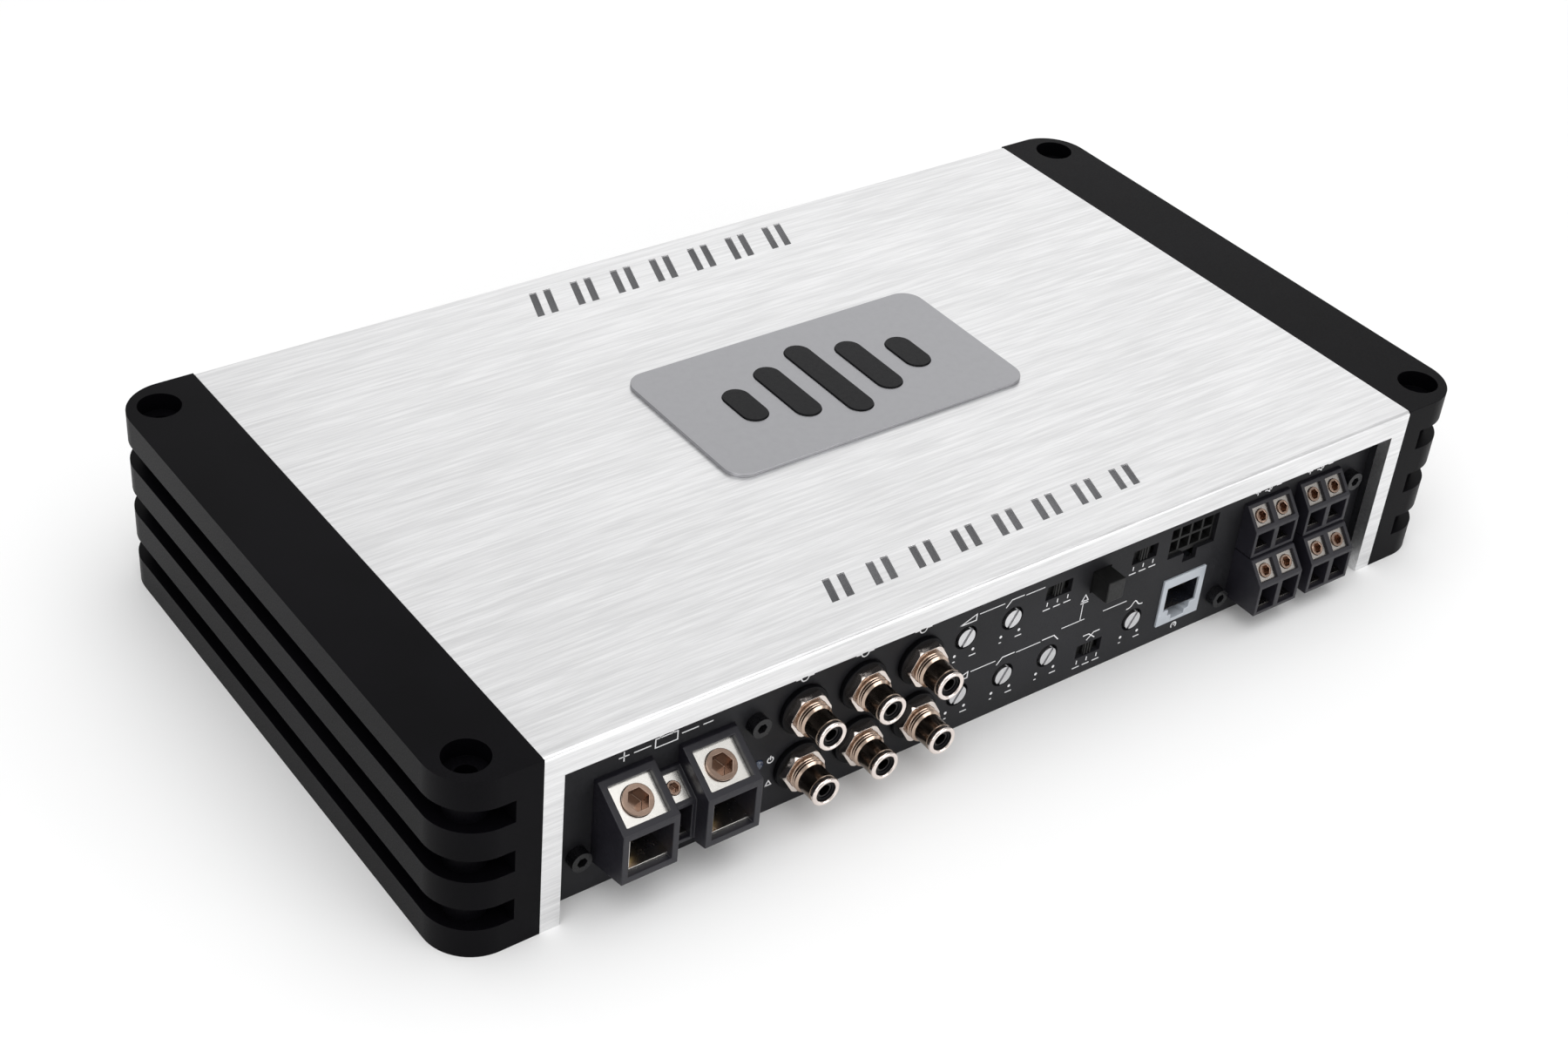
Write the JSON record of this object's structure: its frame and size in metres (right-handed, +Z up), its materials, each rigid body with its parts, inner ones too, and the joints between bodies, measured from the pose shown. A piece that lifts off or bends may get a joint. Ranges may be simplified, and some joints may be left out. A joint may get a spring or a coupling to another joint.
{
  "type": "car amplifier",
  "caption": "Car audio amplifier with a brushed aluminium cover, finned black end caps and a front panel of screw terminals, phono jacks, trimmers, switches and sockets.",
  "frame": {"origin": "middle of the bounding box's footprint, on the mounting surface", "axes": "+X along the long side towards the speaker terminals, +Y from the connector panel towards the back, +Z up"},
  "size_m": [0.33, 0.1844, 0.0554],
  "materials": {
    "brushed_cover": "brushed",
    "black_anodised": "satin",
    "sheet_steel": "satin",
    "panel_black": "matte",
    "black_screws": "satin",
    "zinc_screws": "satin",
    "badge_satin": "satin",
    "badge_black": "gloss",
    "circuit_board": "satin",
    "capacitor_sleeve": "gloss",
    "copper_winding": "gloss",
    "transistor_resin": "matte",
    "terminal_plastic": "matte",
    "plated_contact": "polished",
    "brass_pad": "satin",
    "nickel_screw": "polished",
    "dark_chrome": "polished",
    "nickel_nut": "polished",
    "insulator_black": "matte",
    "switch_plastic": "matte",
    "trimmer_metal": "satin",
    "socket_clear": "gloss",
    "status_lens": "gloss"
  },
  "bodies": {
    "chassis": {"top_cover": "brushed_cover", "left_end_cap": "black_anodised", "right_end_cap": "black_anodised", "base_plate": "sheet_steel", "connector_panel": "panel_black", "end_cap_screws": "black_screws", "base_screws": "zinc_screws", "panel_screws": "black_screws", "badge_plate": "badge_satin", "badge_inlay": "badge_black", "main_board": "circuit_board", "capacitors": "capacitor_sleeve", "toroid_coils": "copper_winding", "power_transistors": "transistor_resin", "power_terminal_housing": "terminal_plastic", "power_contacts": "plated_contact", "speaker_housings": "terminal_plastic", "speaker_contacts": "plated_contact", "phono_shells": "dark_chrome", "phono_nuts": "nickel_nut", "phono_washers": "insulator_black", "phono_cores": "insulator_black", "phono_contacts": "plated_contact", "trimmer_bodies": "switch_plastic", "switch_bodies": "switch_plastic", "input_header": "switch_plastic", "remote_socket": "socket_clear", "status_leds": "status_lens"},
    "positive_pad": {"positive_pad": "brass_pad"},
    "positive_screw": {"positive_screw": "nickel_screw"},
    "negative_pad": {"negative_pad": "brass_pad"},
    "negative_screw": {"negative_screw": "nickel_screw"},
    "remote_pad": {"remote_pad": "brass_pad"},
    "remote_screw": {"remote_screw": "nickel_screw"},
    "speaker_pad_1": {"speaker_pad_1": "brass_pad"},
    "speaker_screw_1": {"speaker_screw_1": "nickel_screw"},
    "speaker_pad_2": {"speaker_pad_2": "brass_pad"},
    "speaker_screw_2": {"speaker_screw_2": "nickel_screw"},
    "speaker_pad_3": {"speaker_pad_3": "brass_pad"},
    "speaker_screw_3": {"speaker_screw_3": "nickel_screw"},
    "speaker_pad_4": {"speaker_pad_4": "brass_pad"},
    "speaker_screw_4": {"speaker_screw_4": "nickel_screw"},
    "speaker_pad_5": {"speaker_pad_5": "brass_pad"},
    "speaker_screw_5": {"speaker_screw_5": "nickel_screw"},
    "speaker_pad_6": {"speaker_pad_6": "brass_pad"},
    "speaker_screw_6": {"speaker_screw_6": "nickel_screw"},
    "speaker_pad_7": {"speaker_pad_7": "brass_pad"},
    "speaker_screw_7": {"speaker_screw_7": "nickel_screw"},
    "speaker_pad_8": {"speaker_pad_8": "brass_pad"},
    "speaker_screw_8": {"speaker_screw_8": "nickel_screw"},
    "front_level_trimmer": {"front_level_trimmer": "trimmer_metal"},
    "front_highpass_trimmer": {"front_highpass_trimmer": "trimmer_metal"},
    "rear_level_trimmer": {"rear_level_trimmer": "trimmer_metal"},
    "rear_highpass_trimmer": {"rear_highpass_trimmer": "trimmer_metal"},
    "lowpass_trimmer": {"lowpass_trimmer": "trimmer_metal"},
    "bass_boost_trimmer": {"bass_boost_trimmer": "trimmer_metal"},
    "front_crossover_slider": {"front_crossover_slider": "switch_plastic"},
    "rear_crossover_slider": {"rear_crossover_slider": "switch_plastic"},
    "turn_on_slider": {"turn_on_slider": "switch_plastic"},
    "input_mode_button": {"input_mode_button": "switch_plastic"}
  },
  "joints": [
    {"name": "positive_pad_slide", "type": "slide", "parent": "chassis", "child": "positive_pad", "axis": [0, -0.5612, 0.8277], "range_m": [-0.005, 0]},
    {"name": "positive_screw_turn", "type": "hinge", "parent": "positive_pad", "child": "positive_screw", "pos_m": [-0.1158, -0.08635, 0.0308], "axis": [0, -0.5612, 0.8277], "range_deg": [-1440, 0]},
    {"name": "negative_pad_slide", "type": "slide", "parent": "chassis", "child": "negative_pad", "axis": [0, -0.5612, 0.8277], "range_m": [-0.005, 0]},
    {"name": "negative_screw_turn", "type": "hinge", "parent": "negative_pad", "child": "negative_screw", "pos_m": [-0.0922, -0.08635, 0.0308], "axis": [0, -0.5612, 0.8277], "range_deg": [-1440, 0]},
    {"name": "remote_pad_slide", "type": "slide", "parent": "chassis", "child": "remote_pad", "axis": [0, -0.562, 0.8271], "range_m": [-0.0025, 0]},
    {"name": "remote_screw_turn", "type": "hinge", "parent": "remote_pad", "child": "remote_screw", "pos_m": [-0.104, -0.08375, 0.02675], "axis": [0, -0.562, 0.8271], "range_deg": [-1800, 0]},
    {"name": "speaker_pad_1_slide", "type": "slide", "parent": "chassis", "child": "speaker_pad_1", "axis": [0, -0.7734, 0.6339], "range_m": [-0.0025, 0]},
    {"name": "speaker_screw_1_turn", "type": "hinge", "parent": "speaker_pad_1", "child": "speaker_screw_1", "pos_m": [0.0913, -0.08275, 0.03445], "axis": [0, -0.7734, 0.6339], "range_deg": [-1800, 0]},
    {"name": "speaker_pad_2_slide", "type": "slide", "parent": "chassis", "child": "speaker_pad_2", "axis": [0, -0.7734, 0.6339], "range_m": [-0.0025, 0]},
    {"name": "speaker_screw_2_turn", "type": "hinge", "parent": "speaker_pad_2", "child": "speaker_screw_2", "pos_m": [0.0995, -0.08275, 0.03445], "axis": [0, -0.7734, 0.6339], "range_deg": [-1800, 0]},
    {"name": "speaker_pad_3_slide", "type": "slide", "parent": "chassis", "child": "speaker_pad_3", "axis": [0, -0.7734, 0.6339], "range_m": [-0.0025, 0]},
    {"name": "speaker_screw_3_turn", "type": "hinge", "parent": "speaker_pad_3", "child": "speaker_screw_3", "pos_m": [0.112, -0.08275, 0.03445], "axis": [0, -0.7734, 0.6339], "range_deg": [-1800, 0]},
    {"name": "speaker_pad_4_slide", "type": "slide", "parent": "chassis", "child": "speaker_pad_4", "axis": [0, -0.7734, 0.6339], "range_m": [-0.0025, 0]},
    {"name": "speaker_screw_4_turn", "type": "hinge", "parent": "speaker_pad_4", "child": "speaker_screw_4", "pos_m": [0.1202, -0.08275, 0.03445], "axis": [0, -0.7734, 0.6339], "range_deg": [-1800, 0]},
    {"name": "speaker_pad_5_slide", "type": "slide", "parent": "chassis", "child": "speaker_pad_5", "axis": [0, -0.7734, 0.6339], "range_m": [-0.0025, 0]},
    {"name": "speaker_screw_5_turn", "type": "hinge", "parent": "speaker_pad_5", "child": "speaker_screw_5", "pos_m": [0.0913, -0.08835, 0.01925], "axis": [0, -0.7734, 0.6339], "range_deg": [-1800, 0]},
    {"name": "speaker_pad_6_slide", "type": "slide", "parent": "chassis", "child": "speaker_pad_6", "axis": [0, -0.7734, 0.6339], "range_m": [-0.0025, 0]},
    {"name": "speaker_screw_6_turn", "type": "hinge", "parent": "speaker_pad_6", "child": "speaker_screw_6", "pos_m": [0.0995, -0.08835, 0.01925], "axis": [0, -0.7734, 0.6339], "range_deg": [-1800, 0]},
    {"name": "speaker_pad_7_slide", "type": "slide", "parent": "chassis", "child": "speaker_pad_7", "axis": [0, -0.7734, 0.6339], "range_m": [-0.0025, 0]},
    {"name": "speaker_screw_7_turn", "type": "hinge", "parent": "speaker_pad_7", "child": "speaker_screw_7", "pos_m": [0.112, -0.08835, 0.01925], "axis": [0, -0.7734, 0.6339], "range_deg": [-1800, 0]},
    {"name": "speaker_pad_8_slide", "type": "slide", "parent": "chassis", "child": "speaker_pad_8", "axis": [0, -0.7734, 0.6339], "range_m": [-0.0025, 0]},
    {"name": "speaker_screw_8_turn", "type": "hinge", "parent": "speaker_pad_8", "child": "speaker_screw_8", "pos_m": [0.1202, -0.08835, 0.01925], "axis": [0, -0.7734, 0.6339], "range_deg": [-1800, 0]},
    {"name": "front_level_trimmer_turn", "type": "hinge", "parent": "chassis", "child": "front_level_trimmer", "pos_m": [-0.0119, -0.07925, 0.031], "axis": [0, -1, 0], "range_deg": [-140, 140]},
    {"name": "front_highpass_trimmer_turn", "type": "hinge", "parent": "chassis", "child": "front_highpass_trimmer", "pos_m": [0.0037, -0.07925, 0.031], "axis": [0, -1, 0], "range_deg": [-140, 140]},
    {"name": "rear_level_trimmer_turn", "type": "hinge", "parent": "chassis", "child": "rear_level_trimmer", "pos_m": [-0.0119, -0.07925, 0.012], "axis": [0, -1, 0], "range_deg": [-140, 140]},
    {"name": "rear_highpass_trimmer_turn", "type": "hinge", "parent": "chassis", "child": "rear_highpass_trimmer", "pos_m": [0.0037, -0.07925, 0.012], "axis": [0, -1, 0], "range_deg": [-140, 140]},
    {"name": "lowpass_trimmer_turn", "type": "hinge", "parent": "chassis", "child": "lowpass_trimmer", "pos_m": [0.0193, -0.07925, 0.012], "axis": [0, -1, 0], "range_deg": [-140, 140]},
    {"name": "bass_boost_trimmer_turn", "type": "hinge", "parent": "chassis", "child": "bass_boost_trimmer", "pos_m": [0.05, -0.07925, 0.012], "axis": [0, -1, 0], "range_deg": [-140, 140]},
    {"name": "front_crossover_slider_slide", "type": "slide", "parent": "chassis", "child": "front_crossover_slider", "axis": [1, 0, 0], "range_m": [-0.002, 0.002]},
    {"name": "rear_crossover_slider_slide", "type": "slide", "parent": "chassis", "child": "rear_crossover_slider", "axis": [1, 0, 0], "range_m": [-0.002, 0.002]},
    {"name": "turn_on_slider_slide", "type": "slide", "parent": "chassis", "child": "turn_on_slider", "axis": [1, 0, 0], "range_m": [-0.002, 0.002]},
    {"name": "input_mode_button_push", "type": "slide", "parent": "chassis", "child": "input_mode_button", "axis": [0, 1, 0], "range_m": [0, 0.0025], "stiffness_N_per_m": 300, "springref_m": -0.0005}
  ],
  "couplings": [
    {"joint": "positive_screw_turn", "follows": "positive_pad_slide", "rad_per_m": 5026.5},
    {"joint": "negative_screw_turn", "follows": "negative_pad_slide", "rad_per_m": 5026.5},
    {"joint": "remote_screw_turn", "follows": "remote_pad_slide", "rad_per_m": 12566},
    {"joint": "speaker_screw_1_turn", "follows": "speaker_pad_1_slide", "rad_per_m": 12566},
    {"joint": "speaker_screw_2_turn", "follows": "speaker_pad_2_slide", "rad_per_m": 12566},
    {"joint": "speaker_screw_3_turn", "follows": "speaker_pad_3_slide", "rad_per_m": 12566},
    {"joint": "speaker_screw_4_turn", "follows": "speaker_pad_4_slide", "rad_per_m": 12566},
    {"joint": "speaker_screw_5_turn", "follows": "speaker_pad_5_slide", "rad_per_m": 12566},
    {"joint": "speaker_screw_6_turn", "follows": "speaker_pad_6_slide", "rad_per_m": 12566},
    {"joint": "speaker_screw_7_turn", "follows": "speaker_pad_7_slide", "rad_per_m": 12566},
    {"joint": "speaker_screw_8_turn", "follows": "speaker_pad_8_slide", "rad_per_m": 12566}
  ]
}
